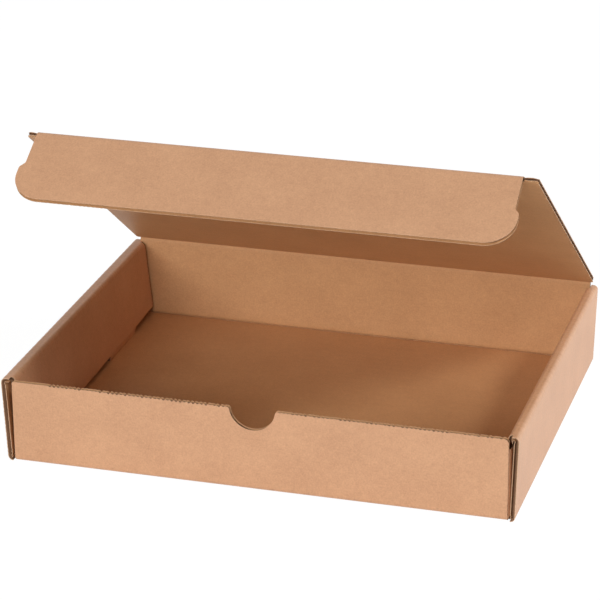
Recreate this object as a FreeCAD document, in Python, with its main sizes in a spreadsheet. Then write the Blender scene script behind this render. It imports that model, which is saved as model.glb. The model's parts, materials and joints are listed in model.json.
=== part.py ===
"""One-piece corrugated mailer box: a folded tray, its lid and the lid's tuck flap.

Millimetres, +Z up, the origin at the middle of the footprint on the surface it
stands on. The front wall faces -Y and the lid is hinged at the back.
"""
import FreeCAD, Part
import math
import os

import Sketcher

V = FreeCAD.Vector

# Driving dimensions: name, value, what it is
SIZES = [
    ("board", 2.8, "thickness of the corrugated board"),
    ("outer_width", 296.0, "tray across its side walls, at the floor"),
    ("outer_depth", 227.0, "tray from the front wall's face to the back wall's face"),
    ("side_height", 51.0, "top of the rolled side walls"),
    ("front_drop", 1.6, "front wall's top edge below the side walls' top"),
    ("hinge_rise", 3.2, "lid crease above the side walls' top"),
    ("wall_lean", 1.5, "outward lean of a side wall at its top"),
    ("fold_radius", 2.0, "outside radius of a fold in the board"),
    ("slit", 0.3, "air between a front or back wall's end and the side wall"),
    ("roll_gap", 1.0, "air between the two plies under a side wall's top strip"),
    ("ply_gap", 0.7, "air between a corner flap and the inner ply"),
    ("flap_height", 34.0, "top edge of the four corner flaps"),
    ("flap_length", 55.0, "corner flap from the wall's face to its free end"),
    ("tuck_bay", 7.4, "space left for the tuck flap ahead of an inner ply"),
    ("back_gap", 1.0, "air between an inner ply and the back wall"),
    ("foot_gap", 1.8, "air under an inner ply, beside its tabs"),
    ("lip_drop", 2.6, "inner ply kept below the strip ahead of its set-back"),
    ("lip_gap", 0.5, "air between that lip of ply and the front wall"),
    ("tab_length", 46.0, "locking tab of an inner ply, along the floor"),
    ("tab_offset", 52.0, "middle of a locking tab from the tray's middle"),
    ("tab_rise", 0.3, "lower end of a locking tab above the floor's underside"),
    ("slot_gap", 0.4, "air round a locking tab in its floor slot"),
    ("notch_radius", 13.4, "thumb notch in the front wall"),
    ("notch_rise", 0.7, "notch centre above the front wall's top edge"),
    ("notch_lip", 1.5, "rounding where the notch meets the top edge"),
    ("lid_angle", 35.4, "lid above level, as it stands open"),
    ("lid_setback", 3.5, "front crease behind the front wall's face when the lid is shut"),
    ("lid_shoulder", 1.2, "where the lid widens beyond its crease"),
    ("lid_inset", 0.9, "lid's side edge inside the tray's outer width"),
    ("lid_corner", 1.8, "corner radius at the lid's hinge end"),
    ("ear_corner", 1.8, "corner radius at the lid's front end"),
    ("ear_gap", 0.6, "air between the tuck flap's root and the lid's front ears"),
    ("crease_gap", 0.35, "air round a crease between two moving panels"),
    ("tuck_fold", 64.9, "tuck flap folded down from the lid's plane"),
    ("tuck_length", 47.5, "tuck flap from its crease to its edge"),
    ("wing_gap", 0.3, "air between a tuck flap wing and the corner flap"),
    ("wing_step", 2.8, "how far a wing stands out beyond the flap's root"),
    ("wing_start", 22.5, "crease to the wing's shoulder"),
    ("wing_slope", 3.5, "length of the sloped shoulder"),
    ("wing_radius", 17.0, "rounded lower corner of the tuck flap"),
]

# Places worked out from the driving dimensions
WALL_HALF = "(sizes.outer_width / 2 - sizes.board - sizes.slit)"
SIDE_HALF = "(sizes.outer_width / 2)"
TOP_HALF = "(sizes.outer_width / 2 + sizes.wall_lean)"
HALF_DEPTH = "(sizes.outer_depth / 2)"
STRIP_WIDTH = "(2 * sizes.board + sizes.roll_gap)"
STRIP_UNDER = "(sizes.side_height - sizes.board)"
LEAN_UNDER = "(sizes.wall_lean * (sizes.side_height - sizes.board) / sizes.side_height)"
LEAN_FLOOR = "(sizes.wall_lean * sizes.board / sizes.side_height)"
PLY_OUTER = f"({WALL_HALF} - sizes.board - sizes.ply_gap)"
PLY_INNER = f"({PLY_OUTER} - sizes.board)"
PLY_FOOT = "(sizes.board + sizes.foot_gap)"
KNEE = "(sizes.flap_height + sizes.ply_gap)"
STRIP_EDGE = f"({TOP_HALF} - {STRIP_WIDTH})"
LIP_FOOT = f"({STRIP_UNDER} - sizes.lip_drop)"
LIP_LEAN = f"(({STRIP_EDGE} - {PLY_INNER}) * sizes.lip_drop / ({STRIP_UNDER} - {KNEE}))"
BAY_END = f"({HALF_DEPTH} - sizes.board - sizes.tuck_bay)"
LID_HALF = f"({SIDE_HALF} - sizes.lid_inset)"
FRONT_TOP = "(sizes.side_height - sizes.front_drop)"
HINGE_Z = "(sizes.side_height + sizes.hinge_rise)"
BACK_TOP = f"({HINGE_Z} - sizes.board / 2 - sizes.crease_gap)"
HINGE_Y = f"({HALF_DEPTH} - sizes.board / 2)"
LID_REACH = "(sizes.outer_depth - sizes.board / 2 - sizes.lid_setback)"
LID_STOP = f"({LID_REACH} - sizes.board / 2 - sizes.crease_gap)"
WING_HALF = f"({WALL_HALF} - sizes.board - sizes.wing_gap)"
ROOT_HALF = f"({WING_HALF} - sizes.wing_step)"
EAR_INNER = f"({ROOT_HALF} + sizes.ear_gap)"
LID_COS = "cos(sizes.lid_angle * 1 deg)"
LID_SIN = "sin(sizes.lid_angle * 1 deg)"


def make_sheet(doc):
    """The spreadsheet with one named cell for each driving dimension."""
    sheet = doc.addObject("Spreadsheet::Sheet", "sizes")
    for row, (alias, value, note) in enumerate(SIZES, start=1):
        sheet.set(f"A{row}", note)
        sheet.set(f"B{row}", str(value))
        sheet.setAlias(f"B{row}", alias)
    doc.recompute()
    return sheet


def origin_plane(body, role):
    """One of the body's own three origin planes."""
    return next(part for part in body.Origin.OriginFeatures if part.Role == role)


def new_sketch(body, name, role, offset=None):
    """An empty sketch on an origin plane, moved along its normal by an expression."""
    sketch = body.newObject("Sketcher::SketchObject", name)
    sketch.AttachmentSupport = (origin_plane(body, role), [""])
    sketch.MapMode = "FlatFace"
    if offset:
        sketch.setExpression("AttachmentOffset.Base.z", offset)
    return sketch


def fix_point(sketch, line, x, y):
    """Hold a line's first point at two expressions, measured from the sketch origin."""
    for kind, place in (("DistanceX", x), ("DistanceY", y)):
        index = sketch.addConstraint(Sketcher.Constraint(kind, -1, 1, line, 1, 1.0))
        sketch.setExpression(f"Constraints[{index}]", place)


def add_outline(sketch, points):
    """A closed outline of straight lines through points given as expressions."""
    count = len(points)
    ring = [V(math.cos(2 * math.pi * i / count), math.sin(2 * math.pi * i / count), 0)
            for i in range(count)]
    lines = [sketch.addGeometry(Part.LineSegment(ring[i], ring[(i + 1) % count]), False)
             for i in range(count)]
    for i in range(count):
        follower = lines[(i + 1) % count]
        sketch.addConstraint(Sketcher.Constraint("Coincident", lines[i], 2, follower, 1))
    for line, (x, y) in zip(lines, points):
        fix_point(sketch, line, x, y)


def add_box(sketch, x_from, x_to, y_from, y_to):
    """A closed rectangle between two pairs of expressions."""
    add_outline(sketch, [(x_from, y_from), (x_to, y_from), (x_to, y_to), (x_from, y_to)])


def add_circle(sketch, x, y, radius):
    """A circle whose centre and radius are expressions."""
    circle = sketch.addGeometry(Part.Circle(V(0, 0, 0), V(0, 0, 1), 1), False)
    index = sketch.addConstraint(Sketcher.Constraint("Radius", circle, 1.0))
    sketch.setExpression(f"Constraints[{index}]", radius)
    for kind, place in (("DistanceX", x), ("DistanceY", y)):
        index = sketch.addConstraint(Sketcher.Constraint(kind, -1, 1, circle, 3, 1.0))
        sketch.setExpression(f"Constraints[{index}]", place)


def pad(body, name, sketch, length, second=None, symmetric=False):
    """Thicken a sketch along its normal, to both sides where a second length is given."""
    feature = body.newObject("PartDesign::Pad", name)
    feature.Profile = sketch
    feature.Refine = True
    feature.setExpression("Length", length)
    if second:
        feature.SideType = "Two sides"
        feature.setExpression("Length2", second)
    if symmetric:
        feature.SideType = "Symmetric"
    return feature


def cut_through(body, name, sketch, length):
    """Cut a sketch's outline out of the body, to both sides of the sketch."""
    feature = body.newObject("PartDesign::Pocket", name)
    feature.Profile = sketch
    feature.Refine = True
    feature.SideType = "Symmetric"
    feature.setExpression("Length", length)
    return feature


def round_edges(body, name, base, radius, wanted):
    """Round the straight edges of the base whose middle and direction are wanted."""
    body.Document.recompute()
    picked = []
    for number, edge in enumerate(base.Shape.Edges, start=1):
        if edge.Curve.TypeId != "Part::GeomLine":
            continue
        middle = edge.valueAt((edge.FirstParameter + edge.LastParameter) / 2)
        if wanted(middle, edge.Curve.Direction):
            picked.append(f"Edge{number}")
    feature = body.newObject("PartDesign::Fillet", name)
    feature.Base = (base, picked)
    feature.setExpression("Radius", radius)
    return feature


def near(value, place):
    """Whether two lengths are the same to a hundredth of a millimetre."""
    return abs(value - place) < 0.01


def signed(side, place):
    """The expression for a place on the right (1) or the left (-1)."""
    return f"{side} * {place}"


def add_floor(body, sheet):
    """The floor, folded up at front and back, with a slot for each locking tab."""
    outline = new_sketch(body, "floor_outline", "XY_Plane")
    add_box(outline, f"-{SIDE_HALF}", SIDE_HALF, f"-{HALF_DEPTH}", HALF_DEPTH)
    base = pad(body, "floor", outline, "sizes.board")

    def is_end_fold(middle, direction):
        return near(middle.z, 0) and near(abs(middle.y), sheet.outer_depth / 2)

    round_edges(body, "floor_end_folds", base, "sizes.fold_radius", is_end_fold)
    slots = new_sketch(body, "slot_outlines", "XY_Plane")
    for side in (1, -1):
        for end in (1, -1):
            add_box(slots,
                    signed(side, f"({PLY_INNER} - sizes.slot_gap)"),
                    signed(side, f"({PLY_OUTER} + sizes.slot_gap)"),
                    f"{end} * sizes.tab_offset - sizes.tab_length / 2 - sizes.slot_gap",
                    f"{end} * sizes.tab_offset + sizes.tab_length / 2 + sizes.slot_gap")
    cut_through(body, "floor_slots", slots, "4 * sizes.board")


def add_end_walls(body, sheet):
    """The front and back walls and the corner flaps folded in from their ends."""
    for name, end, top in (("front", -1, FRONT_TOP), ("back", 1, BACK_TOP)):
        outline = new_sketch(body, f"{name}_wall_outline", "XY_Plane", offset="sizes.fold_radius")
        add_box(outline, f"-{WALL_HALF}", WALL_HALF,
                f"{end} * {HALF_DEPTH}", f"{end} * ({HALF_DEPTH} - sizes.board)")
        pad(body, f"{name}_wall", outline, f"{top} - sizes.fold_radius")
    flaps = new_sketch(body, "corner_flap_outlines", "XY_Plane",
                       offset="sizes.board + sizes.ply_gap")
    for side in (1, -1):
        for end in (1, -1):
            add_box(flaps, signed(side, f"({WALL_HALF} - sizes.board)"), signed(side, WALL_HALF),
                    f"{end} * {HALF_DEPTH}", f"{end} * ({HALF_DEPTH} - sizes.flap_length)")
    base = pad(body, "corner_flaps", flaps,
               "sizes.flap_height - sizes.board - sizes.ply_gap")
    wall_half = sheet.outer_width / 2 - sheet.board - sheet.slit

    def is_wall_end(middle, direction):
        upright = near(abs(direction.z), 1) and near(abs(middle.y), sheet.outer_depth / 2)
        return upright and near(abs(middle.x), wall_half)

    round_edges(body, "wall_end_folds", base, "sizes.fold_radius", is_wall_end)


def cut_notch(body, sheet):
    """The thumb notch in the front wall's top edge, with rounded lips."""
    outline = new_sketch(body, "notch_outline", "XZ_Plane",
                         offset=f"{HALF_DEPTH} - sizes.board / 2")
    add_circle(outline, "0", f"{FRONT_TOP} + sizes.notch_rise", "sizes.notch_radius")
    base = cut_through(body, "thumb_notch", outline, "2 * sizes.board")
    front_top = sheet.side_height - sheet.front_drop
    half_chord = math.sqrt(sheet.notch_radius ** 2 - sheet.notch_rise ** 2)

    def is_lip(middle, direction):
        on_top = near(middle.z, front_top) and near(abs(direction.y), 1)
        return on_top and near(abs(middle.x), half_chord)

    round_edges(body, "notch_lips", base, "sizes.notch_lip", is_lip)


def add_side_walls(body, sheet):
    """Each side wall: the outer ply and the top strip, the full depth of the tray."""
    outline = new_sketch(body, "side_wall_outlines", "XZ_Plane")
    for side in (1, -1):
        add_outline(outline, [
            (signed(side, SIDE_HALF), "0"),
            (signed(side, TOP_HALF), "sizes.side_height"),
            (signed(side, STRIP_EDGE), "sizes.side_height"),
            (signed(side, STRIP_EDGE), STRIP_UNDER),
            (signed(side, f"({SIDE_HALF} + {LEAN_UNDER} - sizes.board)"), STRIP_UNDER),
            (signed(side, f"({SIDE_HALF} + {LEAN_FLOOR} - sizes.board)"), "sizes.board"),
            (signed(side, f"({SIDE_HALF} - sizes.board)"), "0"),
        ])
    base = pad(body, "side_walls", outline, "sizes.outer_depth", symmetric=True)
    side_half = sheet.outer_width / 2
    top_half = side_half + sheet.wall_lean

    def is_outer_fold(middle, direction):
        at_floor = near(abs(middle.x), side_half) and near(middle.z, 0)
        at_top = near(abs(middle.x), top_half) and near(middle.z, sheet.side_height)
        return near(abs(direction.y), 1) and (at_floor or at_top)

    round_edges(body, "side_folds", base, "sizes.fold_radius", is_outer_fold)


def add_inner_plies(body, sheet):
    """Each side wall's inner ply, hanging from the strip, with its locking tabs."""
    outline = new_sketch(body, "inner_ply_outlines", "XZ_Plane")
    for side in (1, -1):
        add_outline(outline, [
            (signed(side, STRIP_EDGE), "sizes.side_height - sizes.board / 2"),
            (signed(side, f"({STRIP_EDGE} + sizes.board)"), "sizes.side_height - sizes.board / 2"),
            (signed(side, f"({STRIP_EDGE} + sizes.board)"), STRIP_UNDER),
            (signed(side, PLY_OUTER), KNEE),
            (signed(side, PLY_OUTER), PLY_FOOT),
            (signed(side, PLY_INNER), PLY_FOOT),
            (signed(side, PLY_INNER), KNEE),
            (signed(side, STRIP_EDGE), STRIP_UNDER),
        ])
    pad(body, "inner_plies", outline, BAY_END,
        second=f"{HALF_DEPTH} - sizes.board - sizes.back_gap")
    lips = new_sketch(body, "ply_lip_outlines", "XZ_Plane", offset=f"{BAY_END} - sizes.board")
    for side in (1, -1):
        add_outline(lips, [
            (signed(side, STRIP_EDGE), "sizes.side_height - sizes.board / 2"),
            (signed(side, f"({STRIP_EDGE} + sizes.board)"), "sizes.side_height - sizes.board / 2"),
            (signed(side, f"({STRIP_EDGE} + sizes.board)"), STRIP_UNDER),
            (signed(side, f"({STRIP_EDGE} + sizes.board - {LIP_LEAN})"), LIP_FOOT),
            (signed(side, f"({STRIP_EDGE} - {LIP_LEAN})"), LIP_FOOT),
            (signed(side, STRIP_EDGE), STRIP_UNDER),
        ])
    base = pad(body, "ply_lips", lips, "sizes.board + sizes.tuck_bay - sizes.lip_gap")
    strip_width = 2 * sheet.board + sheet.roll_gap
    strip_edge = sheet.outer_width / 2 + sheet.wall_lean - strip_width

    def is_inner_fold(middle, direction):
        along = near(abs(direction.y), 1) and near(middle.z, sheet.side_height)
        return along and near(abs(middle.x), strip_edge)

    round_edges(body, "inner_folds", base, "sizes.fold_radius", is_inner_fold)
    tabs = new_sketch(body, "tab_outlines", "XY_Plane", offset="sizes.tab_rise")
    for side in (1, -1):
        for end in (1, -1):
            add_box(tabs, signed(side, PLY_INNER), signed(side, PLY_OUTER),
                    f"{end} * sizes.tab_offset - sizes.tab_length / 2",
                    f"{end} * sizes.tab_offset + sizes.tab_length / 2")
    pad(body, "locking_tabs", tabs, "2 * sizes.board + sizes.foot_gap - sizes.tab_rise")


def make_tray(doc, sheet):
    """Floor, four walls, four corner flaps and two rolled-in plies, in one sheet."""
    body = doc.addObject("PartDesign::Body", "tray")
    body.Label = "tray"
    add_floor(body, sheet)
    add_end_walls(body, sheet)
    cut_notch(body, sheet)
    add_side_walls(body, sheet)
    add_inner_plies(body, sheet)
    return body


def add_crease_root(body, half_width):
    """The half-round of board about a crease, along X through the body's origin."""
    circle = new_sketch(body, "crease_section", "YZ_Plane")
    add_circle(circle, "0", "0", "sizes.board / 2")
    pad(body, "crease_root", circle, f"2 * {half_width}", symmetric=True)


def make_lid(doc, sheet):
    """The lid: its hinge crease lies on its own X axis and it reaches along -Y."""
    body = doc.addObject("PartDesign::Body", "lid")
    body.Label = "lid"
    add_crease_root(body, WALL_HALF)
    outline = new_sketch(body, "lid_outline", "XY_Plane")
    right = [
        (WALL_HALF, "0"),
        (WALL_HALF, "-sizes.lid_shoulder"),
        (LID_HALF, "-sizes.lid_shoulder"),
        (LID_HALF, f"-{LID_REACH}"),
        (EAR_INNER, f"-{LID_REACH}"),
        (EAR_INNER, f"-{LID_STOP}"),
    ]
    add_outline(outline, right + [(f"-{x}", y) for x, y in reversed(right)])
    panel = pad(body, "lid_panel", outline, "sizes.board", symmetric=True)
    lid_half = sheet.outer_width / 2 - sheet.lid_inset
    reach = sheet.outer_depth - sheet.board / 2 - sheet.lid_setback

    def is_hinge_corner(middle, direction):
        upright = near(abs(direction.z), 1)
        return upright and near(abs(middle.x), lid_half) and near(middle.y, -sheet.lid_shoulder)

    def is_ear_corner(middle, direction):
        upright = near(abs(direction.z), 1)
        return upright and near(abs(middle.x), lid_half) and near(middle.y, -reach)

    hinge_end = round_edges(body, "hinge_corners", panel, "sizes.lid_corner", is_hinge_corner)
    round_edges(body, "ear_corners", hinge_end, "sizes.ear_corner", is_ear_corner)
    body.setExpression("Placement.Base.y", HINGE_Y)
    body.setExpression("Placement.Base.z", HINGE_Z)
    body.Placement.Rotation.Axis = V(-1, 0, 0)
    body.setExpression("Placement.Rotation.Angle", "sizes.lid_angle")
    return body


def make_tuck_flap(doc, sheet):
    """The tuck flap: its crease lies on its own X axis and it reaches along -Y."""
    body = doc.addObject("PartDesign::Body", "tuck_flap")
    body.Label = "tuck_flap"
    add_crease_root(body, ROOT_HALF)
    outline = new_sketch(body, "tuck_outline", "XY_Plane")
    right = [
        (ROOT_HALF, "0"),
        (ROOT_HALF, "-sizes.wing_start"),
        (WING_HALF, "-(sizes.wing_start + sizes.wing_slope)"),
        (WING_HALF, "-sizes.tuck_length"),
    ]
    add_outline(outline, right + [(f"-{x}", y) for x, y in reversed(right)])
    panel = pad(body, "tuck_panel", outline, "sizes.board", symmetric=True)
    side_half = sheet.outer_width / 2
    wing_half = side_half - sheet.slit - 2 * sheet.board - sheet.wing_gap

    def is_lower_corner(middle, direction):
        upright = near(abs(direction.z), 1)
        return upright and near(abs(middle.x), wing_half) and near(middle.y, -sheet.tuck_length)

    round_edges(body, "lower_corners", panel, "sizes.wing_radius", is_lower_corner)
    body.setExpression("Placement.Base.y", f"{HINGE_Y} - {LID_REACH} * {LID_COS}")
    body.setExpression("Placement.Base.z", f"{HINGE_Z} + {LID_REACH} * {LID_SIN}")
    body.Placement.Rotation.Axis = V(1, 0, 0)
    body.setExpression("Placement.Rotation.Angle", "sizes.tuck_fold - sizes.lid_angle")
    return body


def check(doc, bodies):
    """Stop if any object failed or a piece is not one valid solid."""
    for item in doc.Objects:
        if "Invalid" in item.State or "Error" in item.State:
            raise RuntimeError(f"{item.Name} failed: {item.State}")
    for body in bodies:
        shape = body.Shape
        if shape.isNull() or not shape.isValid() or len(shape.Solids) != 1:
            raise RuntimeError(f"{body.Label} is not one valid solid")


def main():
    doc = FreeCAD.newDocument("mailer_box")
    sheet = make_sheet(doc)
    bodies = [make_tray(doc, sheet), make_lid(doc, sheet), make_tuck_flap(doc, sheet)]
    doc.recompute()
    check(doc, bodies)
    os.makedirs("parts", exist_ok=True)
    for body in bodies:
        body.Shape.exportStep(f"parts/{body.Label}.step")
        box = body.Shape.BoundBox
        print(body.Label, "volume", round(body.Shape.Volume), "mm3, box",
              [round(value, 2) for value in (box.XMin, box.XMax, box.YMin, box.YMax,
                                             box.ZMin, box.ZMax)])


main()
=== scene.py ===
"""Looks of the corrugated mailer box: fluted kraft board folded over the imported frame.

Every panel is two liners with a waved medium between them. A panel is drawn flat as an
outline, then folded along the board's middle line. In an outline, s runs along the folded
section and w runs across it. Sizes here are in millimetres and angles in degrees.
"""
import json
import math
import random

import bmesh
import bpy
from mathutils import Matrix, Vector


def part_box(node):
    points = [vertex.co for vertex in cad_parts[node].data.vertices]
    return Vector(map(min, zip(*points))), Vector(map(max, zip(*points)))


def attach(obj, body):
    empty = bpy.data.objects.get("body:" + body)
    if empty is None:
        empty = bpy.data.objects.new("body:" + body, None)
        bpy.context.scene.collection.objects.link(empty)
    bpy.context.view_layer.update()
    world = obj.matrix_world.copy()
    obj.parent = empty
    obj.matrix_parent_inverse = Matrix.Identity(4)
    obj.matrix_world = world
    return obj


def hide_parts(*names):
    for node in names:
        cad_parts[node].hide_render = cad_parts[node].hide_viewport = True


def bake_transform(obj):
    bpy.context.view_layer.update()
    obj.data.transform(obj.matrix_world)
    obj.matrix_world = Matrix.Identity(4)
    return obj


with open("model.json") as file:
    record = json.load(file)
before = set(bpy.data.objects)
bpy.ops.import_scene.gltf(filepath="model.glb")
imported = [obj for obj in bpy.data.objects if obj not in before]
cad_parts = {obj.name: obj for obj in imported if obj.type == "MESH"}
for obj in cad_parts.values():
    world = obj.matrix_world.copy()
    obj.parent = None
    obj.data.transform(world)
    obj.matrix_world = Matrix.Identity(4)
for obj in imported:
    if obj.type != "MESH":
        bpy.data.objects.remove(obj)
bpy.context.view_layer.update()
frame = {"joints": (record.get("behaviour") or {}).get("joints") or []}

MM = 0.001


# Sizes read from the frame

def node_size(node, axis):
    """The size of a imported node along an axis, to a tenth of a millimetre."""
    low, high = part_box(node)
    return round((high[axis] - low[axis]) / MM, 1)


joints = {joint["name"]: joint for joint in frame["joints"]}


def axis_place(name):
    """Where the axis of a joint crosses the section, as (y, z)."""
    return [round(value / MM, 3) for value in joints[name]["pos_m"][1:]]


DEPTH = node_size("tray", 1)
LID_HALF = node_size("lid", 0) / 2
WING_HALF = node_size("tuck_flap", 0) / 2
HINGE_Y, HINGE_Z = axis_place("lid_hinge")
TUCK_Y, TUCK_Z = axis_place("tuck_crease")
LID_REACH = math.dist((HINGE_Y, HINGE_Z), (TUCK_Y, TUCK_Z))
LID_ANGLE = math.degrees(math.atan2(TUCK_Z - HINGE_Z, HINGE_Y - TUCK_Y))

# The tuck flap's lower limit is flat with the lid, so that is how far it is folded at rest
TUCK_FOLD = -joints["tuck_crease"]["range_deg"][0]

# Board. The medium's paper is twice MEDIUM_HALF thick
BOARD = 2.8
HALF = BOARD / 2
LINER = 0.32
MEDIUM_HALF = 0.11
FLUTE_PITCH = 6.4
FLUTE_RISE = HALF - LINER - MEDIUM_HALF

# Teeth that the die leaves in a cut edge: places along one tooth with their heights, and
# how uneven the teeth are
TOOTH_PITCH = 2.5
TOOTH_SHAPE = ((0.2, 0.0), (0.4, 1.0), (0.7, 0.9), (0.92, 0.0))
TOOTH_HEIGHTS = (0.25, 0.6, 0.8, 1.0, 1.15)

# Folds: radii of the middle line, then how the board is crushed and scored on their inside
WALL_FOLD = 1.4
SIDE_FOLD = 1.2
ROLL_FOLD = 1.1
FLAP_FOLD = 1.2
CREASE_FOLD = 1.5
PLY_BEND = 6.0
CRUSHED_RADIUS = 0.25
CRUSH_REACH = 2.2
SCORE_REACH = 1.5
SCORE_DEPTH = 0.92
FINE_LINES = (0.4, 0.9, 1.5, CRUSH_REACH)
COARSE_LINES = (1.0, CRUSH_REACH)

# Front, floor and back
WALL_HALF = 144.9
WALL_Y = DEPTH / 2 - HALF
FRONT_TOP = 49.4
FRONT_SHORTER = 1.1
ROUND_CORNER = 3.0
CRISP_CORNER = 1.4
SEAM = 138.2
CREASE = 4.0
BACK_END = HINGE_Z - CREASE

# Thumb notch, and where the front wall's toothed top edge starts and ends at its left
NOTCH_X = -1.4
NOTCH_RADIUS = 13.4
NOTCH_RISE = 0.7
NOTCH_LIP = 1.5
TOOTHED_FROM = NOTCH_X - 15.4
TOOTHED_TO = 22.0

# Corner flaps: a root inside the front or back wall, then a shoulder, then the low flap
FLAP_SET_IN = 0.5
FLAP_ROOT = 4.5
FLAP_LENGTH = 55.0
FLAP_CORNER = 5.0
FLAP_FOOT, FLAP_TOP = 3.5, 34.0
SHOULDER_TOP, SHOULDER_END, SHOULDER_FOOT = 43.0, 6.0, 14.0
ROOT_BOTTOM, ROOT_END, ROOT_SLOPE_END = 0.9, 2.5, 4.2

# Side walls: the outer ply and the strip, the inner ply, its tabs, and the slots for them
SIDE_FOOT = 148.0
STRIP_OUTER = 149.5
STRIP_WIDTH = 6.6
STRIP_TOP = 51.0
LEFT_LEAN, RIGHT_LEAN = 2.4, 1.5
LEFT_WIDEN = 1.5
LIP_FOOT = 45.6
PLY_KNEE = (138.4, 6.5)
PLY_END = 139.3
PLY_FOOT = 4.6
PLY_FROM, PLY_TO = -103.3, 108.7
TAB_BOTTOM = 0.3
TAB_FROM, TAB_TO = 29.0, 75.0
SLOT_SPARE = 0.4
SLOT_WIDTH = 3.6
SEAM_GAP = 0.3
FLOOR_SPARE = 0.5
ROLL_SPARE = 0.2

# How far the inner ply's foot is above PLY_FOOT, from its front end to its back end
FRONT_RAISE, MIDDLE_RAISE, BACK_RAISE, END_RAISE = 1.0, 1.5, 2.0, 3.0

# Marks on a rolled side wall: for its outer and its inner roll, how far they reach past
# the fold, how deep the flutes show and how deep it wrinkles. Then what makes them uneven
ROLL_MARKS = ((1.6, 0.05, 0.03), (3.4, 0.06, 0.12))
DRIFT_WAVES = (41.0, 23.7)
UNEVEN_WAVE = 17.3

# Lid and tuck flap. The ears are the lid's corners beside the tuck flap's crease
LID_CORNER = 1.8
LID_BACK = 1.2
EAR_FROM = 139.2
LEFT_EAR_SHORTER = 1.7
LEFT_EAR_CORNER = 2.6
EAR_PRESSED = 3.4
EAR_THINNED, TIP_THINNED = 0.3, 0.35
TUCK_LENGTH = 47.5
ROOT_HALF = 139.0
NECK_END, WING_FROM = 21.8, 26.2
WING_RADIUS = 17.0

# Working creases: how far they bend on each side, and where the tuck's one narrows
NARROW_FROM = CREASE - 1.75
EAR_GAP = 0.05

# Camera, fitted to the box's own edges in the photograph. Its focal length is in pixels
PICTURE_WIDTH = 600.0
FOCAL_LENGTH = 2808.2
SENSOR_WIDTH = 36.0
CAMERA_PLACE = (0.42465, -1.45985, 0.69663)
CAMERA_AZIMUTH, CAMERA_ELEVATION, CAMERA_ROLL = 16.461, 22.397, -0.418


def make_camera():
    """The photograph's view."""
    azimuth, elevation, roll = (math.radians(v) for v in
                                (CAMERA_AZIMUTH, CAMERA_ELEVATION, CAMERA_ROLL))
    ahead = Vector((-math.sin(azimuth) * math.cos(elevation),
                    math.cos(azimuth) * math.cos(elevation), -math.sin(elevation)))
    right = ahead.cross(Vector((0, 0, 1))).normalized()
    up = right.cross(ahead)
    right, up = (right * math.cos(roll) + up * math.sin(roll),
                 up * math.cos(roll) - right * math.sin(roll))
    data = bpy.data.cameras.new("photo_camera")
    data.sensor_width = SENSOR_WIDTH
    data.lens = SENSOR_WIDTH * FOCAL_LENGTH / PICTURE_WIDTH
    data.clip_end = 50.0
    camera = bpy.data.objects.new("photo_camera", data)
    bpy.context.scene.collection.objects.link(camera)
    turn = Matrix((right, up, -ahead)).transposed().to_4x4()
    camera.matrix_world = Matrix.Translation(CAMERA_PLACE) @ turn
    bpy.context.scene.camera = camera


make_camera()


# Folded boards

def clamp(value):
    """The value held between 0 and 1."""
    return min(max(value, 0.0), 1.0)


def ease(t):
    """A soft step from 0 to 1."""
    return 3 * t ** 2 - 2 * t ** 3


def swell(t):
    """A soft bump, 1 at t = 0 and nothing from t = 1 on."""
    return (1 - t * t) ** 2 if t < 1 else 0.0


class Fold:
    """The middle line of a board in its section plane: straight runs joined by arcs.

    The printed face lies to the right of the way the line runs. A score presses the inside
    of each fold in, by that share of the board's half thickness."""

    def __init__(self, points, radii, score=0.0):
        self.runs = []
        self.folds = []
        self.extra = []
        self.score = score
        points = [Vector(p) for p in points]
        s, here = 0.0, points[0]
        for i in range(1, len(points)):
            ahead = (points[i] - points[i - 1]).normalized()
            cut = 0.0
            if i < len(points) - 1:
                after = (points[i + 1] - points[i]).normalized()
                turn = math.atan2(ahead.x * after.y - ahead.y * after.x, ahead.dot(after))
                radius = radii[i - 1]
                cut = radius * math.tan(abs(turn) / 2)
            end = points[i] - ahead * cut
            length = (end - here).length
            self.runs.append((s, s + length, here, ahead, 0.0))
            s += length
            here = end
            if cut:
                bend = turn / (radius * abs(turn))
                self.runs.append((s, s + radius * abs(turn), end, ahead, bend))
                inner = min((radius - CRUSHED_RADIUS) / HALF, 1.0)
                self.folds.append((s, s + radius * abs(turn), turn, inner))
                s += radius * abs(turn)
                here = points[i] + after * cut
        self.length = s

    def at(self, s):
        """The point of the middle line at s, and its direction."""
        run = next((r for r in self.runs if s <= r[1]), self.runs[-1])
        start, _, here, ahead, bend = run
        step = s - start
        if not bend:
            return here + ahead * step, ahead
        angle = step * bend
        side = Vector((-ahead.y, ahead.x))
        point = here + ahead * (math.sin(angle) / bend) + side * ((1 - math.cos(angle)) / bend)
        return point, ahead * math.cos(angle) + side * math.sin(angle)

    def offset(self, s, d):
        """The point at distance d towards the printed face, crushed inside a fold."""
        for start, end, turn, inner in self.folds:
            if turn * d < 0:
                away = max(start - s, s - end, 0.0) / CRUSH_REACH
                if away < 1:
                    d *= inner + (1 - inner) * ease(away)
                d *= 1 - self.score * swell(abs(s - (start + end) / 2) / SCORE_REACH)
        point, ahead = self.at(s)
        return point + Vector((ahead.y, -ahead.x)) * d

    def lines(self, fine=True):
        """Places along the board where the mesh needs a line to bend well."""
        found = list(self.extra)
        for start, end, turn, _ in self.folds:
            count = 3
            if fine:
                count = 8 if self.score else max(4, round(abs(turn) * 5))
            found += [start + (end - start) * i / count for i in range(count + 1)]
            for reach in FINE_LINES if fine else COARSE_LINES:
                found += [start - reach, end + reach]
        return sorted(v for v in found if 0.02 < v < self.length - 0.02)


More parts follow.
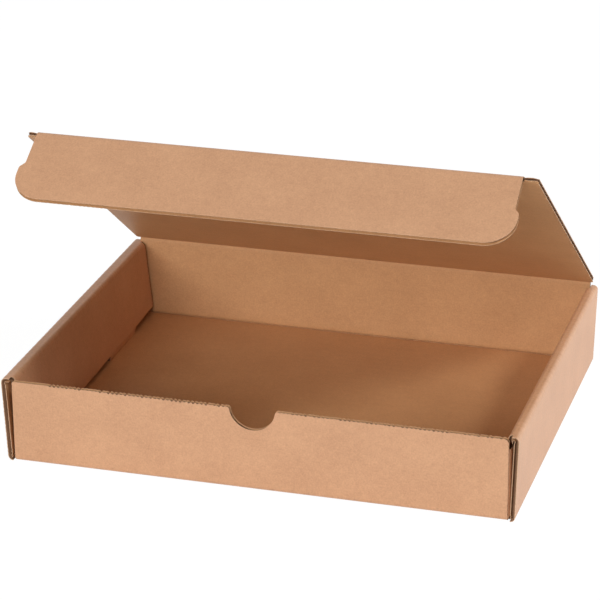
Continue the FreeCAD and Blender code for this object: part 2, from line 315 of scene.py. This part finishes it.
class Outline:
    """A closed outline, run anticlockwise, whose sides may be toothed as a die cuts them."""

    def __init__(self):
        self.points = []
        self.teeth = []

    def to(self, *points, teeth=0.0):
        """Adds points. The side that leaves the last of them gets teeth of that depth."""
        for point in points:
            self.points.append((float(point[0]), float(point[1])))
            self.teeth.append(0.0)
        self.teeth[-1] = teeth
        return self

    def mirrored(self):
        """Adds the other half, for an outline that is the same on both sides of w = 0."""
        count = len(self.points)
        half = list(zip(self.points, self.teeth))
        for i in reversed(range(count)):
            (s, w), _ = half[i]
            self.points.append((s, -w))
            self.teeth.append(half[i - 1][1] if i else 0.0)
        return self

    def cut(self, seed):
        """The outline's points with the teeth put in, a little uneven."""
        rng = random.Random(seed)
        out = []
        for i, start in enumerate(self.points):
            out.append(start)
            if not self.teeth[i]:
                continue
            a, b = Vector(start), Vector(self.points[(i + 1) % len(self.points)])
            length = (b - a).length
            along = (b - a) / length
            inward = Vector((-along.y, along.x))
            count = max(1, round(length / TOOTH_PITCH))
            for k in range(count):
                rise = self.teeth[i] * rng.choice(TOOTH_HEIGHTS)
                for part, height in TOOTH_SHAPE:
                    out.append(tuple(a + along * (length * (k + part) / count)
                                     + inward * (rise * height)))
        return out

    def inner(self, amount):
        """The plain outline moved inwards, for the medium just behind the liners."""
        count = len(self.points)
        out = []
        for i in range(count):
            a, b, c = (Vector(self.points[(i + k) % count]) for k in (-1, 0, 1))
            d1, d2 = (b - a).normalized(), (c - b).normalized()
            mid = Vector((-d1.y - d2.y, d1.x + d2.x))
            out.append(tuple(b + mid * (amount * 2 / max(mid.length_squared, 0.5))))
        return out


def arc(cx, cy, radius, start, end, count):
    """Points on a circle from one angle to another."""
    return [(cx + radius * math.cos(math.radians(start + (end - start) * i / count)),
             cy + radius * math.sin(math.radians(start + (end - start) * i / count)))
            for i in range(count + 1)]


def cut_along(bm, lines, axis):
    """Cuts the flat mesh at each place along an axis, going up."""
    normal = Vector((1, 0, 0)) if axis == 0 else Vector((0, 1, 0))
    waiting = list(bm.faces)
    for value in sorted(lines):
        crossed, rest = [], []
        for face in waiting:
            places = [v.co[axis] for v in face.verts]
            if max(places) > value + 1e-4:
                (crossed if min(places) < value - 1e-4 else rest).append(face)
        if crossed:
            edges = {e for f in crossed for e in f.edges}
            verts = {v for f in crossed for v in f.verts}
            made = bmesh.ops.bisect_plane(bm, geom=crossed + list(edges) + list(verts),
                                          plane_co=normal * value, plane_no=normal, dist=1e-5)
            rest += [g for g in made["geom"] if isinstance(g, bmesh.types.BMFace)]
        waiting = rest


def flat_mesh(outline, s_lines, w_lines=()):
    """The outline as one flat mesh, cut along the lines: its points, faces and rim."""
    bm = bmesh.new()
    bm.faces.new([bm.verts.new((s, w, 0)) for s, w in outline])
    cut_along(bm, s_lines, 0)
    cut_along(bm, w_lines, 1)
    bm.verts.index_update()
    points = [(v.co.x, v.co.y) for v in bm.verts]
    faces = [[v.index for v in f.verts] for f in bm.faces]
    rim = [[v.index for v in e.verts] for e in bm.edges if len(e.link_faces) == 1]
    bm.free()
    return points, faces, rim


# Places of the four papers in a piece's list of materials, and the angle of its sharp edges
OUTSIDE, CUT, FLUTING, INSIDE = range(4)
SHARP_ANGLE = 32.0


class Piece:
    """A mesh built up from folded layers, with flat board coordinates as its UV map."""

    def __init__(self, name):
        self.name = name
        self.points, self.faces, self.marks, self.coords = [], [], [], []

    def layer(self, flat, place, low, high, face_mark, rim_mark, coord):
        """One sheet of paper between two offsets of the middle line."""
        points, faces, rim = flat
        base = len(self.points)
        for level in (low, high):
            for s, w in points:
                self.points.append(place(s, w, level(s, w)))
                self.coords.append(coord(s, w))
        top = base + len(points)
        for face in faces:
            self.faces.append([base + i for i in face])
            self.marks.append(face_mark)
            self.faces.append([top + i for i in reversed(face)])
            self.marks.append(face_mark)
        for a, b in rim:
            self.faces.append([base + a, top + a, top + b, base + b])
            self.marks.append(rim_mark)

    def build(self, materials):
        """The finished object. Its UV unit is 100 mm of board."""
        mesh = bpy.data.meshes.new(self.name)
        mesh.from_pydata([tuple(Vector(p) * MM) for p in self.points], [], self.faces)
        mesh.polygons.foreach_set("material_index", self.marks)
        uv = mesh.uv_layers.new(name="board")
        for loop in mesh.loops:
            u, v = self.coords[loop.vertex_index]
            uv.data[loop.index].uv = (u * MM * 10, v * MM * 10)
        for material in materials:
            mesh.materials.append(material)
        bm = bmesh.new()
        bm.from_mesh(mesh)
        bmesh.ops.recalc_face_normals(bm, faces=bm.faces[:])
        bm.to_mesh(mesh)
        bm.free()
        mesh.shade_smooth()
        mesh.set_sharp_from_angle(angle=math.radians(SHARP_ANGLE))
        piece = bpy.data.objects.new(self.name, mesh)
        bpy.context.scene.collection.objects.link(piece)
        return piece


def steps_between(low, high, step):
    """Even places from low towards high, without either end."""
    return [low + step * i for i in range(1, int((high - low) / step))]


def no_ripple(s, w):
    """The outside of a board that isn't rolled stays smooth."""
    return 0.0


def board(piece, outline, fold, place, coord, waves, seed, ripple=None, recess=0.35):
    """Both liners and the medium of one panel.

    place puts (s, w, offset) in space and coord gives the flat board coordinates. waves says
    whether the medium waves along s or w, and recess how far it lies behind the cut edges."""
    shape = outline.cut(seed)
    plain = flat_mesh(shape, fold.lines())
    fine, wavy = plain, no_ripple
    if ripple:
        across = [w for _, w in shape]
        fine = flat_mesh(shape, fold.lines(),
                         steps_between(min(across), max(across), TOOTH_PITCH / 4))
        wavy = ripple
    piece.layer(fine, place, lambda s, w: HALF - LINER + wavy(s, w),
                lambda s, w: HALF + wavy(s, w), OUTSIDE, CUT, coord)
    piece.layer(plain, place, lambda s, w: -HALF, lambda s, w: LINER - HALF,
                INSIDE, CUT, coord)
    bare = outline.inner(recess)
    along = [s if waves == "s" else w for s, w in bare]
    steps = steps_between(min(along), max(along), FLUTE_PITCH / 8)
    if waves == "s":
        medium = flat_mesh(bare, steps)
    else:
        medium = flat_mesh(bare, fold.lines(fine=False), steps)

    def wave(s, w):
        return FLUTE_RISE * math.sin(2 * math.pi * (s if waves == "s" else w) / FLUTE_PITCH)

    piece.layer(medium, place, lambda s, w: wave(s, w) - MEDIUM_HALF,
                lambda s, w: wave(s, w) + MEDIUM_HALF, FLUTING, FLUTING, coord)


# Tray

core_fold = Fold([(-WALL_Y, FRONT_TOP), (-WALL_Y, HALF), (WALL_Y, HALF), (WALL_Y, BACK_END)],
                 [WALL_FOLD, WALL_FOLD], score=SCORE_DEPTH)
FLOOR_FROM = FRONT_TOP - HALF - WALL_FOLD + WALL_FOLD * math.pi / 2
FLOOR_TO = FLOOR_FROM + 2 * (WALL_Y - WALL_FOLD)
CORE_END = core_fold.length
MIDDLE = (FLOOR_FROM + FLOOR_TO) / 2


def notch_points():
    """The thumb notch with rounded lips, from the right of the front wall to the left."""
    across = math.sqrt((NOTCH_RADIUS + NOTCH_LIP) ** 2 - (NOTCH_LIP + NOTCH_RISE) ** 2)
    meet = math.degrees(math.atan2(across, NOTCH_LIP + NOTCH_RISE))
    right = arc(NOTCH_LIP, across, NOTCH_LIP, 180, 180 + meet, 5)
    bowl = arc(-NOTCH_RISE, 0, NOTCH_RADIUS, meet, -meet, 30)
    points = right + bowl[1:-1] + [(s, -w) for s, w in reversed(right)]
    return [(s, w + NOTCH_X) for s, w in points]


def core_outline():
    """Front wall, floor and back wall."""
    front = WALL_HALF - FRONT_SHORTER
    shape = Outline()
    shape.to((CRISP_CORNER, -front), teeth=0.22)
    shape.to((FLOOR_FROM, -front), (FLOOR_FROM, -SEAM), (FLOOR_TO, -SEAM))
    shape.to((FLOOR_TO, -WALL_HALF), teeth=0.22)
    shape.to((CORE_END, -WALL_HALF), (CORE_END, WALL_HALF), teeth=0.22)
    shape.to((FLOOR_TO, WALL_HALF), (FLOOR_TO, SEAM), (FLOOR_FROM, SEAM))
    shape.to((FLOOR_FROM, front), teeth=0.3)
    shape.to(*arc(ROUND_CORNER, front - ROUND_CORNER, ROUND_CORNER, 90, 180, 5), teeth=0.55)
    shape.to(*notch_points())
    shape.to((0.0, TOOTHED_FROM), teeth=0.75)
    shape.to((0.0, -front + TOOTHED_TO))
    shape.to(*arc(CRISP_CORNER, -front + CRISP_CORNER, CRISP_CORNER, 180, 270, 4)[:-1])
    return shape


def build_core(materials):
    """The floor, the front and back walls and the four corner flaps."""
    piece = Piece("tray_core")

    def place(s, w, d):
        p = core_fold.offset(s, d)
        return (w, p.x, p.y)

    board(piece, core_outline(), core_fold, place, lambda s, w: (w, s - MIDDLE), "s", seed=11)
    for side in (1, -1):
        for end in (1, -1):
            add_corner_flap(piece, side, end)
    return piece.build(materials)


def add_corner_flap(piece, side, end):
    """A flap folded in from a wall's end, standing between the plies of the side wall."""
    wall = WALL_Y - FLAP_SET_IN
    between = WALL_HALF - HALF
    fold = Fold([(WALL_HALF - FLAP_ROOT, -wall), (between, -wall),
                 (between, -(DEPTH / 2 - FLAP_LENGTH))], [FLAP_FOLD])
    inset = fold.length - FLAP_CORNER
    shape = Outline()
    shape.to((0.0, ROOT_BOTTOM), (ROOT_END, ROOT_BOTTOM))
    shape.to((ROOT_SLOPE_END, FLAP_FOOT), teeth=0.2)
    shape.to(*arc(inset, FLAP_FOOT + FLAP_CORNER, FLAP_CORNER, -90, 0, 5))
    shape.to(*arc(inset, FLAP_TOP - FLAP_CORNER, FLAP_CORNER, 0, 90, 5), teeth=0.2)
    shape.to((SHOULDER_FOOT, FLAP_TOP), (SHOULDER_END, SHOULDER_TOP), (0.0, SHOULDER_TOP))

    def place(s, w, d):
        p = fold.offset(s, d)
        return (side * p.x, -end * p.y, w)

    board(piece, shape, fold, place,
          lambda s, w: (side * (WALL_HALF + s), end * (MIDDLE - w)),
          "w", seed=23 + 2 * side + end)


def side_fold(lean):
    """A side wall's section. The lean is how far its outer ply leans out at the top."""
    strip_z = STRIP_TOP - HALF
    outer = SIDE_FOOT - HALF + lean * strip_z / STRIP_TOP
    inner = STRIP_OUTER - STRIP_WIDTH + HALF
    return Fold([(SEAM, HALF), (SIDE_FOOT - HALF, HALF), (outer, strip_z), (inner, strip_z),
                 PLY_KNEE, (PLY_END, TAB_BOTTOM)],
                [SIDE_FOLD, ROLL_FOLD, ROLL_FOLD, PLY_BEND])


def inner_roll(fold):
    """Where a side wall's strip starts to roll down, and where its inner ply begins."""
    start, end, _, _ = fold.folds[2]
    return start - ROLL_SPARE, end


def side_outline(fold):
    """A side wall laid flat, from its seam with the floor to the foot of the inner ply."""
    wall_from = WALL_HALF + SEAM_GAP - SEAM
    roll, rolled = inner_roll(fold)
    lip = rolled + (fold.at(rolled)[0].y - LIP_FOOT) / -fold.at(rolled + 0.01)[1].y
    tab_end = fold.length
    foot = tab_end - (PLY_FOOT - TAB_BOTTOM)
    half = DEPTH / 2
    floor = half - BOARD - FLOOR_SPARE
    shape = Outline()
    shape.to((0.0, -floor), (wall_from, -floor), (wall_from, -half), teeth=0.25)
    shape.to((roll, -half), (roll, -floor), (lip, -floor), teeth=0.2)
    shape.to((lip, PLY_FROM), teeth=0.25)
    shape.to((foot - FRONT_RAISE, PLY_FROM), teeth=0.25)
    shape.to((foot - FRONT_RAISE, -TAB_TO), (tab_end, -TAB_TO), (tab_end, -TAB_FROM),
             (foot, -TAB_FROM), teeth=0.25)
    shape.to((foot - MIDDLE_RAISE, TAB_FROM - 1), (foot - MIDDLE_RAISE, TAB_FROM),
             (tab_end, TAB_FROM), (tab_end, TAB_TO), (foot - BACK_RAISE, TAB_TO), teeth=0.25)
    shape.to((foot - END_RAISE, PLY_TO), teeth=0.55)
    shape.to((roll, PLY_TO), (roll, half), teeth=0.25)
    shape.to((wall_from, half), (wall_from, floor), (0.0, floor))
    near, far = TAB_FROM - SLOT_SPARE, TAB_TO + SLOT_SPARE
    for low, high in ((near, far), (-far, -near)):
        shape.to((0.0, high), (SLOT_WIDTH, high), (SLOT_WIDTH, low), (0.0, low))
    return shape


def build_side(side, lean, widen, materials):
    """A rolled side wall: outer ply, top strip and inner ply with its two tabs.

    widen is how much wider its strip is at the back than at the front. The inner ply
    follows the strip there."""
    piece = Piece("side_wall_right" if side > 0 else "side_wall_left")
    fold = side_fold(lean)
    strip = fold.folds[1][1]
    roll, rolled = inner_roll(fold)
    foot = fold.length - (PLY_FOOT - TAB_BOTTOM)

    def place(s, w, d):
        p = fold.offset(s, d)
        across = clamp((s - strip) / (roll - strip))
        down = clamp((foot - s) / (foot - rolled))
        wider = widen * across * down * clamp(w / DEPTH + 0.5)
        return (side * (p.x - wider), w, p.y)

    rolls = [((start + end) / 2, (end - start) / 2 + reach, flute_dip, tooth_dip)
             for (start, end, _, _), (reach, flute_dip, tooth_dip)
             in zip(fold.folds[1:3], ROLL_MARKS)]

    def ripple(s, w):
        """The flutes show through, and the liner wrinkles, where it is rolled across them."""
        total = 0.0
        for centre, reach, flute_dip, tooth_dip in rolls:
            fade = swell(abs(s - centre) / reach)
            if fade:
                turns = 2 * math.pi * w
                drift = (math.sin(turns / DRIFT_WAVES[0] + centre)
                         + math.sin(turns / DRIFT_WAVES[1]))
                uneven = 0.6 + 0.4 * math.sin(turns / UNEVEN_WAVE + 2 * drift)
                flutes = math.cos(turns / FLUTE_PITCH + 0.5 * drift) - 1
                wrinkles = math.cos(turns / TOOTH_PITCH + drift) - 1
                total += fade * (flute_dip * flutes + tooth_dip * uneven * wrinkles)
        return total

    board(piece, side_outline(fold), fold, place, lambda s, w: (side * (SEAM + s), w),
          "w", seed=31 + side, ripple=ripple)
    return piece.build(materials)


# Lid, tuck flap and the creases between them

def tilted(angle, y, z):
    """Maps a panel's own section, with its crease at the origin, into the box's frame."""
    turn = math.radians(angle)
    cos, sin = math.cos(turn), math.sin(turn)

    def place(w, along, up):
        return (w, y + along * cos + up * sin, z - along * sin + up * cos)
    return place


lid_place = tilted(LID_ANGLE, HINGE_Y, HINGE_Z)
tuck_place = tilted(LID_ANGLE - TUCK_FOLD, TUCK_Y, TUCK_Z)
BACK_V = CORE_END - MIDDLE + CREASE


def build_lid(materials):
    """The lid's panel, with the short ears beside the tuck flap's crease."""
    piece = Piece("lid_panel")
    fold = Fold([(0, 0), (-LID_REACH, 0)], [])
    fold.extra = [LID_REACH - reach for reach in (3.2, 2.4, 1.6, 0.8)]
    stop = LID_REACH - CREASE
    short = LID_HALF - LEFT_EAR_SHORTER
    back = LID_BACK + LID_CORNER
    shape = Outline()
    shape.to((CREASE, -WALL_HALF), (LID_BACK, -WALL_HALF))
    shape.to(*arc(back, -LID_HALF + LID_CORNER, LID_CORNER, 180, 270, 4), teeth=0.2)
    shape.to(*arc(LID_REACH - LEFT_EAR_CORNER, -short + LEFT_EAR_CORNER, LEFT_EAR_CORNER,
                  270, 360, 7), teeth=0.1)
    shape.to((LID_REACH, -EAR_FROM), (stop, -EAR_FROM))
    shape.to((stop, EAR_FROM), (LID_REACH, EAR_FROM), teeth=0.1)
    shape.to(*arc(LID_REACH - LID_CORNER, LID_HALF - LID_CORNER, LID_CORNER, 0, 90, 5),
             teeth=0.2)
    shape.to(*arc(back, LID_HALF - LID_CORNER, LID_CORNER, 90, 180, 4))
    shape.to((LID_BACK, WALL_HALF), (CREASE, WALL_HALF))

    def place(s, w, d):
        """The board is pressed thinner at the ears' cut front, most at their tips."""
        near = clamp((s - LID_REACH + EAR_PRESSED) / EAR_PRESSED)
        across = (abs(w) - EAR_FROM) / (LID_HALF - EAR_FROM) * 2 - 1
        if near and across > -1.2:
            d *= 1 - ease(near) * (EAR_THINNED + TIP_THINNED * min(across * across, 1.0))
        p = fold.offset(s, d)
        return lid_place(w, p.x, p.y)

    board(piece, shape, fold, place, lambda s, w: (w, BACK_V + s), "s", seed=47, recess=0.15)
    return piece.build(materials)


def build_tuck(materials):
    """The tuck flap with its rounded wings."""
    piece = Piece("tuck_panel")
    fold = Fold([(0, 0), (-TUCK_LENGTH, 0)], [])
    shape = Outline()
    shape.to((CREASE, -ROOT_HALF), (NECK_END, -ROOT_HALF),
             (NECK_END + 1.1, -ROOT_HALF - 0.4), (WING_FROM - 1.0, -WING_HALF + 0.4),
             (WING_FROM, -WING_HALF))
    shape.to(*arc(TUCK_LENGTH - WING_RADIUS, -WING_HALF + WING_RADIUS, WING_RADIUS,
                  270, 360, 14), teeth=0.14)
    shape.mirrored()

    def place(s, w, d):
        p = fold.offset(s, d)
        return tuck_place(w, p.x, p.y)

    board(piece, shape, fold, place, lambda s, w: (w, BACK_V + LID_REACH + s), "s",
          seed=59, recess=2.2)
    return piece.build(materials)


def build_crease(name, before, corner, after, half_widths, start_v, materials):
    """A short stretch of board round a working crease, drawn straight in (y, z)."""
    piece = Piece(name)
    fold = Fold([before, corner, after], [CREASE_FOLD])
    first, last = half_widths
    shape = Outline()
    shape.to((0.0, -first))
    if first != last:
        shape.to((NARROW_FROM, -first), (NARROW_FROM, -last))
    shape.to((fold.length, -last))
    shape.mirrored()

    def place(s, w, d):
        p = fold.offset(s, d)
        return (w, p.x, p.y)

    board(piece, shape, fold, place, lambda s, w: (w, start_v + s), "s", seed=0, recess=0.2)
    return piece.build(materials)


# Materials

def node(tree, kind, x, y, **values):
    """A shader node with its values set by input name, or else by property name."""
    made = tree.nodes.new(kind)
    made.location = (x, y)
    for key, value in values.items():
        if key in made.inputs:
            made.inputs[key].default_value = value
        else:
            setattr(made, key, value)
    return made


def paper(name, dark, light, roughness, grain, ribs):
    """Kraft paper: cloudy mottling, short fibres, flecks and the flutes showing faintly.

    dark and light are the ends of its colour. grain and ribs are the strengths of the fine
    bump and of the flutes' bump."""
    material = bpy.data.materials.new(name)
    material.use_nodes = True
    tree = material.node_tree
    link = tree.links.new
    shader = tree.nodes["Principled BSDF"]
    uv = node(tree, "ShaderNodeUVMap", -1500, 0, uv_map="board")
    stretch = node(tree, "ShaderNodeMapping", -1250, -150, Scale=(260.0, 55.0, 1.0))
    link(uv.outputs[0], stretch.inputs["Vector"])

    def noise(source, y, **values):
        made = node(tree, "ShaderNodeTexNoise", -1000, y, **values)
        link(source.outputs[0], made.inputs["Vector"])
        return made.outputs[0]

    clouds = noise(uv, 400, Scale=2.6, Detail=4.0, Roughness=0.6)
    mottle = noise(uv, 150, Scale=26.0, Detail=5.0, Roughness=0.72)
    fibres = noise(stretch, -150, Scale=1.0, Detail=3.0, Roughness=0.65, Distortion=0.6)
    flecks = noise(uv, -450, Scale=95.0, Detail=1.0)

    def mix(a, b, share, x, y):
        joined = node(tree, "ShaderNodeMix", x, y, data_type="FLOAT")
        joined.inputs[0].default_value = share
        link(a, joined.inputs[2])
        link(b, joined.inputs[3])
        return joined.outputs[0]

    tone = mix(clouds, mottle, 0.5, -750, 300)
    tone = mix(tone, fibres, 0.28, -550, 200)
    tone = mix(tone, flecks, 0.27, -350, 100)
    ramp = node(tree, "ShaderNodeValToRGB", -150, 100)
    for element, position, colour in zip(ramp.color_ramp.elements, (0.34, 0.66), (dark, light)):
        element.position = position
        element.color = (*colour, 1)
    link(tone, ramp.inputs[0])
    link(ramp.outputs[0], shader.inputs["Base Color"])

    flutes_per_unit = 100 / FLUTE_PITCH
    rib = node(tree, "ShaderNodeTexWave", -1000, -750, wave_type="BANDS", bands_direction="Y")
    rib.inputs["Scale"].default_value = 2 * math.pi * flutes_per_unit / 20
    rib.inputs["Distortion"].default_value = 0.3
    rib.inputs["Detail"].default_value = 1.0
    rib.inputs["Detail Scale"].default_value = 0.4
    link(uv.outputs[0], rib.inputs["Vector"])
    height = mix(fibres, mottle, 0.5, -550, -350)
    fine = node(tree, "ShaderNodeBump", -350, -350, Strength=grain, Distance=0.00012)
    link(height, fine.inputs["Height"])
    wide = node(tree, "ShaderNodeBump", -150, -450, Strength=ribs, Distance=0.0002)
    link(rib.outputs["Fac"], wide.inputs["Height"])
    link(fine.outputs[0], wide.inputs["Normal"])
    link(wide.outputs[0], shader.inputs["Normal"])

    shade = node(tree, "ShaderNodeMapRange", -150, -150)
    shade.inputs["To Min"].default_value = roughness - 0.06
    shade.inputs["To Max"].default_value = roughness + 0.08
    link(mottle, shade.inputs["Value"])
    link(shade.outputs[0], shader.inputs["Roughness"])
    shader.inputs["Specular IOR Level"].default_value = 0.5
    return material


papers = [None] * 4
papers[OUTSIDE] = paper("kraft_liner", (0.515, 0.264, 0.140), (0.725, 0.405, 0.226),
                        roughness=0.43, grain=0.55, ribs=0.12)
# The inside liner is darker and browner than the outside one. This is partly the inner paper's
# own browner colour and partly painted shade for the box's dim inside.
papers[INSIDE] = paper("kraft_inside_browner_and_shaded", (0.465, 0.236, 0.103), (0.650, 0.359, 0.169),
                       roughness=0.5, grain=0.55, ribs=0.12)
papers[CUT] = paper("kraft_cut_edge", (0.50, 0.30, 0.17), (0.74, 0.50, 0.33),
                    roughness=0.85, grain=0.8, ribs=0.0)
# Painted shade: the medium's paper is coloured far darker than the liners' kraft, standing for
# the shade in the flute hollows seen at the cut edges.
papers[FLUTING] = paper("kraft_fluting_painted_shade", (0.18, 0.093, 0.048), (0.29, 0.158, 0.084),
                        roughness=0.85, grain=0.6, ribs=0.0)


# The box

core = build_core(papers)
left = build_side(-1, LEFT_LEAN, LEFT_WIDEN, papers)
right = build_side(1, RIGHT_LEAN, 0.0, papers)
lid = build_lid(papers)
tuck = build_tuck(papers)
cos, sin = math.cos(math.radians(LID_ANGLE)), math.sin(math.radians(LID_ANGLE))
hinge_crease = build_crease(
    "hinge_crease", (HINGE_Y, BACK_END), (HINGE_Y, HINGE_Z),
    (HINGE_Y - CREASE * cos, HINGE_Z + CREASE * sin), (WALL_HALF, WALL_HALF),
    CORE_END - MIDDLE, papers)
down = math.radians(TUCK_FOLD - LID_ANGLE)
tuck_crease = build_crease(
    "tuck_crease", (TUCK_Y + CREASE * cos, TUCK_Z - CREASE * sin), (TUCK_Y, TUCK_Z),
    (TUCK_Y - CREASE * math.cos(down), TUCK_Z - CREASE * math.sin(down)),
    (EAR_FROM - EAR_GAP, ROOT_HALF), BACK_V + LID_REACH - CREASE, papers)

for piece in (core, left, right):
    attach(piece, "tray")
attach(lid, "lid")
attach(tuck, "tuck_flap")
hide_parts("tray")
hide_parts("lid")
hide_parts("tuck_flap")

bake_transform(hinge_crease)
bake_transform(tuck_crease)


# Floor, world and lamps, in metres and watts

FLOOR_HALF = 12.0
FLOOR_BELOW = 0.0002
FLOOR_GLOW = 1.07
FLOOR_GLOW_SHARE = 0.9
ROOM_LIGHT = 0.14
LAMP_AIM = (0, 0, 0.08)


def rays_seen(tree, kinds):
    """1 for rays of these kinds, which are to see the background as white, and 0 for others."""
    path = node(tree, "ShaderNodeLightPath", -1000, 300)
    seen = path.outputs[kinds[0]]
    for i, kind in enumerate(kinds[1:]):
        either = node(tree, "ShaderNodeMath", -800 + 200 * i, 300, operation="MAXIMUM")
        tree.links.new(seen, either.inputs[0])
        tree.links.new(path.outputs[kind], either.inputs[1])
        seen = either.outputs[0]
    return seen


def stage():
    """A plain white floor that reads as white to the camera and keeps a soft shadow."""
    mesh = bpy.data.meshes.new("floor")
    size = FLOOR_HALF
    mesh.from_pydata([(-size, -size, 0), (size, -size, 0), (size, size, 0), (-size, size, 0)],
                     [], [(0, 1, 2, 3)])
    floor = bpy.data.objects.new("floor", mesh)
    bpy.context.scene.collection.objects.link(floor)
    floor.location.z = -FLOOR_BELOW
    material = bpy.data.materials.new("floor_white")
    material.use_nodes = True
    tree = material.node_tree
    shader = tree.nodes["Principled BSDF"]
    shader.inputs["Base Color"].default_value = (0.85, 0.85, 0.85, 1)
    shader.inputs["Roughness"].default_value = 0.9
    shader.inputs["Specular IOR Level"].default_value = 0.1
    glow = node(tree, "ShaderNodeEmission", 0, -300, Strength=FLOOR_GLOW)
    share = node(tree, "ShaderNodeMath", -200, 300, operation="MULTIPLY")
    tree.links.new(rays_seen(tree, ("Is Camera Ray", "Is Glossy Ray")), share.inputs[0])
    share.inputs[1].default_value = FLOOR_GLOW_SHARE
    both = node(tree, "ShaderNodeMixShader", 200, 100)
    tree.links.new(share.outputs[0], both.inputs[0])
    tree.links.new(shader.outputs[0], both.inputs[1])
    tree.links.new(glow.outputs[0], both.inputs[2])
    tree.links.new(both.outputs[0], tree.nodes["Material Output"].inputs["Surface"])
    floor.data.materials.append(material)


def lamp(name, place, width, height, power):
    """A soft rectangular lamp aimed at the middle of the box."""
    data = bpy.data.lights.new(name, "AREA")
    data.shape = "RECTANGLE"
    data.size = width
    data.size_y = height
    data.energy = power
    made = bpy.data.objects.new(name, data)
    made.location = place
    ray = Vector(LAMP_AIM) - Vector(place)
    made.rotation_euler = ray.to_track_quat("-Z", "Y").to_euler()
    bpy.context.scene.collection.objects.link(made)


def light():
    """A dim white room with three soft lamps: front left, high right and low behind right."""
    world = bpy.data.worlds.new("room")
    bpy.context.scene.world = world
    world.use_nodes = True
    tree = world.node_tree
    background = tree.nodes["Background"]
    background.inputs["Color"].default_value = (1, 1, 1, 1)
    level = node(tree, "ShaderNodeMapRange", -200, 0)
    level.inputs["To Min"].default_value = ROOM_LIGHT
    level.inputs["To Max"].default_value = 1.0
    seen = rays_seen(tree, ("Is Camera Ray", "Is Glossy Ray", "Is Transmission Ray"))
    tree.links.new(seen, level.inputs["Value"])
    tree.links.new(level.outputs[0], background.inputs["Strength"])
    lamp("front_lamp", (-0.63, -2.36, 0.97), width=2.2, height=0.6, power=48)
    lamp("key_lamp", (1.80, -0.38, 1.92), width=0.5, height=0.5, power=20)
    lamp("rim_lamp", (2.18, 1.26, 0.75), width=1.0, height=1.0, power=34)


stage()
light()
bpy.context.scene.view_settings.view_transform = "Standard"
